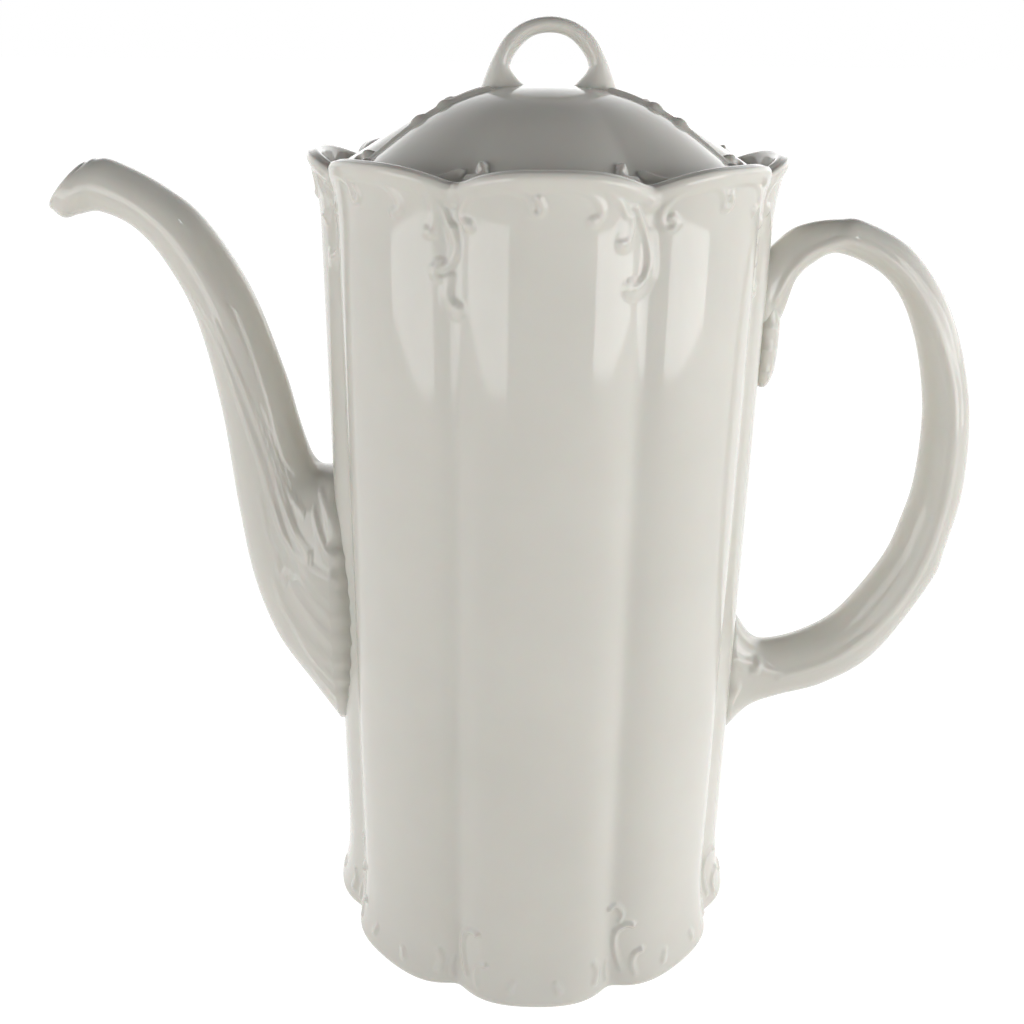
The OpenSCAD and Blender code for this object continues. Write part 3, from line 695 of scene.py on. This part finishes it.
# The ridge along the ear, and the bead and small leaves at its lower root
HANDLE_RELIEF = [
    ([(55.2, 172.4), (58.6, 179.8), (64.4, 184.6), (72.0, 186.4), (81.0, 182.4), (90.6, 172.4),
      (97.4, 160.8), (101.8, 148.2), (103.6, 130.0), (102.0, 112.0), (97.4, 97.0), (89.0, 84.0),
      (78.0, 75.0), (66.0, 70.6)], (1.4, 1.6), (0.45, 0.5), 0.0),
    ([(66.0, 71.6), (62.6, 72.4), (59.4, 73.6)], (1.2, 1.9), (0.5, 1.3), 2.3),
    ([(52.0, 78.0), (54.8, 75.6), (57.6, 74.8)], (1.2, 1.0), (1.0, 0.9), 0.0),
    ([(54.2, 68.4), (52.4, 63.0), (50.6, 59.4)], (1.4, 0.8), (0.8, 0.4), 0.0),
]
ear_plan = np.array(EAR_PLAN)
ear_plan[:, [0, 2]] = WALL_R + ear_plan[:, [0, 2]] * EAR_REACH
ear_plan[:, [1, 3]] = EAR_FOOT + ear_plan[:, [1, 3]] * EAR_RISE
ear_plan[:, 4] *= EAR_W
ear_around = np.linspace(0, 2 * math.pi, EAR_SIDES, endpoint=False)
ear_grid = np.array([section_ring(s, ear_around) for s in smooth_path(ear_plan, EAR_STEPS)])
ear_normals = grid_normals(ear_grid)
outward = np.sign(np.sum(ear_normals[..., 1] * ear_grid[..., 1]))
ear_normals *= outward
ear_grid += ear_normals * flat_relief(ear_grid, ear_normals, HANDLE_RELIEF)[..., None]
for end in (0, -1):
    ear_grid[end] = onto_wall(ear_grid[end], 1, -ROOT_BED)
pot_handle = add_grid("pot_handle", ear_grid)
if outward < 0:
    pot_handle.data.flip_normals()
pot_handle.data.materials.append(glazed_porcelain)
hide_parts("handle")
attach(pot_handle, "pot")

# ---------------------------------------------------------------------------
# Lappet. The leaf below the handle's upper root: a thick tongue on the wall,
# rounded at its tip, with small curls nicked into both of its edges.
# ---------------------------------------------------------------------------
leaf_low, leaf_high = box_mm("handle_lappet")
LAPPET_OUT = leaf_high[0] - WALL_R
LAPPET_W = leaf_high[1]
LAPPET_SIDES = 64
LAPPET_ROWS = 110
LAPPET_NICKS = 5
LAPPET_NICK = 0.10
leaf_around = np.linspace(0, 2 * math.pi, LAPPET_SIDES, endpoint=False)
leaf_rows = []
for share in 0.5 - 0.5 * np.cos(np.linspace(0.02, math.pi - 0.02, LAPPET_ROWS)):
    z = leaf_high[2] - share * (leaf_high[2] - leaf_low[2])
    grow = math.sqrt(1 - abs(2 * share - 1) ** 3)
    nick = 1 - LAPPET_NICK * abs(math.sin(LAPPET_NICKS * math.pi * share)) * grow
    y = LAPPET_W * grow * nick * np.sin(leaf_around)
    thick = (LAPPET_OUT + ROOT_BED) / 2 * grow * np.cos(leaf_around)
    row = onto_wall(np.stack([y * 0, y, y * 0 + z], axis=-1), 1, (LAPPET_OUT - ROOT_BED) / 2)
    row[:, 0] += thick
    leaf_rows.append(row)
pot_lappet = add_grid("pot_lappet", np.array(leaf_rows))
pot_lappet.data.materials.append(glazed_porcelain)
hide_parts("handle_lappet")
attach(pot_lappet, "pot")

# ---------------------------------------------------------------------------
# Lid. A cast dome whose edge follows the lobes inside the rim. Four ribs run
# down from the loop's feet, and a leaf and a curl stand at each notch.
# ---------------------------------------------------------------------------
lid_low, lid_high = box_mm("lid")
LID_T = 3.0
LID_ROUND = 1.5
LID_EDGE_Z = lid_low[2] + LID_T
DOME_H = lid_high[2] - LID_EDGE_Z
DOME_FLAT = 2.6
DOME_CURVE = 1.5
LID_GAP = 0.8
# How far below the lid's edge the wall is measured that the edge follows
LID_FIT_BELOW = 3.3
LID_COLUMNS = 800
ROUND_R = WALL_R - WALL - LID_GAP


def dome_z(share):
    return LID_EDGE_Z + DOME_H * np.maximum(0, 1 - share ** DOME_FLAT) ** DOME_CURVE


def lid_r(turn, share):
    """Radius of the lid: round at the crown, lobed at its edge."""
    edge = wall_r(turn, LID_EDGE_Z - LID_FIT_BELOW) - WALL - LID_GAP
    return share * (ROUND_R + (edge - ROUND_R) * share ** 3)


# A leaf and a curl at each notch. A point is the distance round the edge from
# the notch, and the distance in from the edge
LID_SCROLLS = [
    ([(13.5, 1.5), (8.5, 1.7), (5.0, 2.2), (2.4, 3.4)], (1.0, 1.7), (0.5, 1.3), 0.0),
    ([(-0.4, 2.2), (-2.8, 2.6), (-4.0, 4.0), (-2.9, 5.4)], (1.3, 1.3), (0.9, 1.3), 1.6),
]
# A bead that stands up by the notch behind the handle
TALL_BEAD = ([(0.0, 0.0), (0.3, 0.0)], (1.5, 1.5), (2.4, 2.4), 0.0)
TALL_BEAD_TURN = math.radians(106)
TALL_BEAD_IN = 5.0
# Ribs beside the loop's feet, as turns from the handle's side
RIB_TURN = math.radians(22.5)
RIB_IN, RIB_OUT = 15.0, 45.5
RIB_HALF, RIB_LIFT = 1.5, 0.9
BEAD_RS = (25.0, 31.0)
BEAD_HALF, BEAD_LIFT = 1.9, 1.3

lid_turns = (np.arange(LID_COLUMNS) + 0.5) * 2 * math.pi / LID_COLUMNS
shares = np.concatenate([np.linspace(0.04, 0.7, 50), np.linspace(0.71, 1, 52)[:-1]])
lid_rows = [at_turn(lid_turns, lid_r(lid_turns, s), dome_z(s)) for s in shares]
top_rows = len(lid_rows)
edge_r = lid_r(lid_turns, np.ones(LID_COLUMNS))
for angle in np.radians(np.linspace(90, -90, 9)):
    r = edge_r - LID_ROUND * (1 - math.cos(angle))
    lid_rows.append(at_turn(lid_turns, r, LID_EDGE_Z - LID_ROUND + LID_ROUND * math.sin(angle)))
UNDER_SHARES = (0.92, 0.82, 0.7, 0.55, 0.4, 0.25, 0.1)
for s in UNDER_SHARES:
    lid_rows.append(at_turn(lid_turns, lid_r(lid_turns, s), dome_z(s) - LID_T))
lid_grid = np.array(lid_rows)
top = lid_grid[:top_rows]
lid_height = np.zeros(top.shape[:2])
turn_grid = np.broadcast_to(lid_turns, lid_height.shape)
out_r = np.hypot(top[..., 0], top[..., 1])
inward = lid_r(lid_turns, np.ones(LID_COLUMNS))[None] - out_r
edge_round = 2 * math.pi * ROUND_R
for groove in range(LOBES):
    run = (turn_grid - (groove - 0.5) * LOBE_TURN) * ROUND_R
    run = (run + edge_round / 2) % edge_round - edge_round / 2
    # The pairs are mirrored about the front and the back panel
    hand = 1 if groove % 2 == 1 else -1
    for scroll in LID_SCROLLS:
        raise_stroke(lid_height, hand * run, inward, *scroll)
for side in (0.5 * math.pi, 1.5 * math.pi):
    for offset in (-RIB_TURN, RIB_TURN):
        turn = side + offset
        rib = at_turn(turn, np.array([RIB_IN, RIB_OUT]), 0)[:, :2]
        raise_stroke(lid_height, top[..., 0], top[..., 1], rib, (RIB_HALF, RIB_HALF),
                     (RIB_LIFT, 0.6 * RIB_LIFT))
        for bead_r in BEAD_RS:
            spots = at_turn(turn, np.array([bead_r, bead_r + 0.6]), 0)[:, :2]
            raise_stroke(lid_height, top[..., 0], top[..., 1], spots, (BEAD_HALF, BEAD_HALF),
                         (BEAD_LIFT, BEAD_LIFT))
bead_run = (turn_grid - TALL_BEAD_TURN) * ROUND_R
raise_stroke(lid_height, bead_run, inward - TALL_BEAD_IN, *TALL_BEAD)
lid_normals = grid_normals(lid_grid)[:top_rows]
lid_normals *= np.sign(lid_normals[..., 2].mean())
lid_grid[:top_rows] += lid_normals * lid_height[..., None]
pot_lid = add_grid("pot_lid", lid_grid)
pot_lid.data.flip_normals()
pot_lid.data.materials.append(glazed_porcelain)
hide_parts("lid", "lid_relief")
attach(pot_lid, "lid")

# ---------------------------------------------------------------------------
# Knob. The loop the lid is lifted by, a bent rod of porcelain that spreads into
# two broad feet along the lid's crown.
# ---------------------------------------------------------------------------
knob_high = box_mm("lid_knob")[1]
CROWN_Z = lid_high[2]
KNOB_H = knob_high[2] - CROWN_Z
KNOB_SPREAD = knob_high[0]
KNOB_D = 3.2
KNOB_SIDES = 56
KNOB_STEPS = 14
# Sections of one half, from its foot up to the top of the loop: both ends of the
# long axis as shares of the spread and the height, and the half width as a share
# of the rod's
KNOB_PLAN = [
    (0.14, -0.17, 1.06, -0.22, 1.85),
    (0.24, -0.06, 0.87, -0.09, 1.60),
    (0.36, 0.06, 0.79, 0.13, 1.36),
    (0.475, 0.28, 0.705, 0.38, 1.18),
    (0.38, 0.52, 0.55, 0.70, 1.09),
    (0.21, 0.705, 0.31, 0.92, 1.03),
    (0.00, 0.76, 0.00, 1.00, 1.00),
]
half_plan = np.array(KNOB_PLAN)
half_plan[:, [0, 2]] *= -KNOB_SPREAD
half_plan[:, [1, 3]] = CROWN_Z + half_plan[:, [1, 3]] * KNOB_H
half_plan[:, 4] *= KNOB_D
other_half = half_plan[-2::-1] * np.array([-1, 1, -1, 1, 1])
knob_around = np.linspace(0, 2 * math.pi, KNOB_SIDES, endpoint=False)
knob_sections = smooth_path(np.vstack([half_plan, other_half]), KNOB_STEPS)
knob_grid = np.array([section_ring(s, knob_around) for s in knob_sections])
pot_knob = add_grid("pot_knob", knob_grid)
pot_knob.data.flip_normals()
pot_knob.data.materials.append(glazed_porcelain)
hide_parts("lid_knob")
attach(pot_knob, "lid")

# ---------------------------------------------------------------------------
# Stage. A wide sheet of matt white paper under the pot. It also glows for the
# camera and in reflections, so that it stays white but keeps a faint shadow.
# ---------------------------------------------------------------------------
FLOOR_HALF = 30000.0
FLOOR_GLOW = 0.75
GLOW_STRENGTH = 1.32
floor_mesh = bpy.data.meshes.new("floor")
floor_corners = ((-1, -1), (1, -1), (1, 1), (-1, 1))
floor_mesh.from_pydata(
    [(x * FLOOR_HALF * MM, y * FLOOR_HALF * MM, 0) for x, y in floor_corners],
    [], [(0, 1, 2, 3)],
)
floor = bpy.data.objects.new("floor", floor_mesh)
bpy.context.scene.collection.objects.link(floor)
paper = bpy.data.materials.new("white_paper")
paper.use_nodes = True
paper_tree = paper.node_tree
paper_tree.nodes.clear()
path = add_node(paper_tree, "ShaderNodeLightPath")
seen = add_node(paper_tree, "ShaderNodeMath", {"operation": "MAXIMUM"}, {
    0: path.outputs["Is Camera Ray"], 1: path.outputs["Is Glossy Ray"],
})
share = add_node(paper_tree, "ShaderNodeMath", {"operation": "MULTIPLY"}, {
    0: seen.outputs[0], 1: FLOOR_GLOW,
})
matt = add_node(paper_tree, "ShaderNodeBsdfDiffuse", None, {"Color": linear("#f4f1e8")})
glow = add_node(paper_tree, "ShaderNodeEmission", None, {
    "Color": (1, 1, 1, 1), "Strength": GLOW_STRENGTH,
})
blend = add_node(paper_tree, "ShaderNodeMixShader", None, {
    0: share.outputs[0], 1: matt.outputs[0], 2: glow.outputs[0],
})
output = add_node(paper_tree, "ShaderNodeOutputMaterial")
paper_tree.links.new(blend.outputs[0], output.inputs["Surface"])
floor_mesh.materials.append(paper)

# The surround is bright near the horizon and behind the pot, dark overhead
world = bpy.data.worlds.new("surround")
bpy.context.scene.world = world
world.use_nodes = True
world_tree = world.node_tree
world_tree.nodes.clear()
place = add_node(world_tree, "ShaderNodeTexCoord")
split = add_node(world_tree, "ShaderNodeSeparateXYZ", None, {0: place.outputs["Generated"]})
high = add_node(world_tree, "ShaderNodeMapRange", {"interpolation_type": "SMOOTHSTEP"}, {
    "Value": split.outputs["Z"], "From Min": 0.15, "From Max": 0.85, "To Min": 1.65, "To Max": 0.0,
})
behind = add_node(world_tree, "ShaderNodeMapRange", {"interpolation_type": "SMOOTHSTEP"}, {
    "Value": split.outputs["Y"], "From Min": -0.8, "From Max": 0.0, "To Min": 0.0, "To Max": 1.0,
})
right = add_node(world_tree, "ShaderNodeMapRange", None, {
    "Value": split.outputs["X"], "From Min": -1.0, "From Max": 1.0, "To Min": 0.9, "To Max": 1.35,
})
sides = add_node(world_tree, "ShaderNodeMath", {"operation": "MULTIPLY"}, {
    0: behind.outputs["Result"], 1: right.outputs["Result"],
})
level = add_node(world_tree, "ShaderNodeMath", {"operation": "MULTIPLY"}, {
    0: high.outputs["Result"], 1: sides.outputs[0],
})
path = add_node(world_tree, "ShaderNodeLightPath")
strength = add_node(world_tree, "ShaderNodeMix", {"data_type": "FLOAT"}, {
    0: path.outputs["Is Camera Ray"], 2: level.outputs[0], 3: 1.0,
})
back = add_node(world_tree, "ShaderNodeBackground", None, {
    "Color": (1, 1, 1, 1), "Strength": strength.outputs[0],
})
output = add_node(world_tree, "ShaderNodeOutputWorld")
world_tree.links.new(back.outputs[0], output.inputs["Surface"])

# ---------------------------------------------------------------------------
# Light. A tall soft box stands on the floor on either side of the camera, and
# their reflections stand in the lobes' flanks. A small window is high on the right.
# ---------------------------------------------------------------------------
# Name, foot of one edge, foot of the other, bottom, top, radiance
SOFT_BOXES = [
    ("box_left", (-240.0, -560.0), (-835.0, -190.0), 2.0, 300.0, 2.1),
    ("box_right", (330.0, -590.0), (830.0, -150.0), 2.0, 300.0, 3.0),
    ("window", (820.0, -1130.0), (900.0, -1060.0), 1330.0, 1470.0, 14.0),
]
for name, foot_a, foot_b, bottom, top, radiance in SOFT_BOXES:
    along = np.array([foot_b[0] - foot_a[0], foot_b[1] - foot_a[1], 0.0])
    wide = np.linalg.norm(along)
    side = along / wide
    up = np.array([0.0, 0.0, 1.0])
    away = np.cross(side, up)
    middle = np.array([
        (foot_a[0] + foot_b[0]) / 2, (foot_a[1] + foot_b[1]) / 2, (bottom + top) / 2,
    ])
    if away @ middle < 0:
        side, away = -side, -away
    data = bpy.data.lights.new(name, "AREA")
    data.shape = "RECTANGLE"
    data.size = wide * MM
    data.size_y = (top - bottom) * MM
    data.energy = radiance * math.pi * data.size * data.size_y
    lamp = bpy.data.objects.new(name, data)
    turned = Matrix(np.stack([side, up, away], axis=1).tolist()).to_4x4()
    turned.translation = middle * MM
    lamp.matrix_world = turned
    bpy.context.scene.collection.objects.link(lamp)

# ---------------------------------------------------------------------------
# Camera. Close in front of the pot and level with its lid, it looks down at the
# pot, so the sides draw together towards the foot.
# ---------------------------------------------------------------------------
CAMERA_PLACE = (-6.7, -280.2, 226.3)
CAMERA_HEADING = math.radians(0.1)
CAMERA_DOWN = math.radians(21.7)
CAMERA_ROLL = math.radians(0.74)
CAMERA_LENS = 40.42
CAMERA_SENSOR = 36.0
camera_data = bpy.data.cameras.new("camera")
camera_data.lens = CAMERA_LENS
camera_data.sensor_width = CAMERA_SENSOR
camera_data.clip_start = 0.01
camera = bpy.data.objects.new("camera", camera_data)
camera.matrix_world = (
    Matrix.Translation([c * MM for c in CAMERA_PLACE])
    @ Matrix.Rotation(CAMERA_HEADING, 4, "Z")
    @ Matrix.Rotation(math.pi / 2 - CAMERA_DOWN, 4, "X")
    @ Matrix.Rotation(CAMERA_ROLL, 4, "Z")
)
bpy.context.scene.collection.objects.link(camera)
bpy.context.scene.camera = camera
bpy.context.scene.view_settings.view_transform = "Standard"
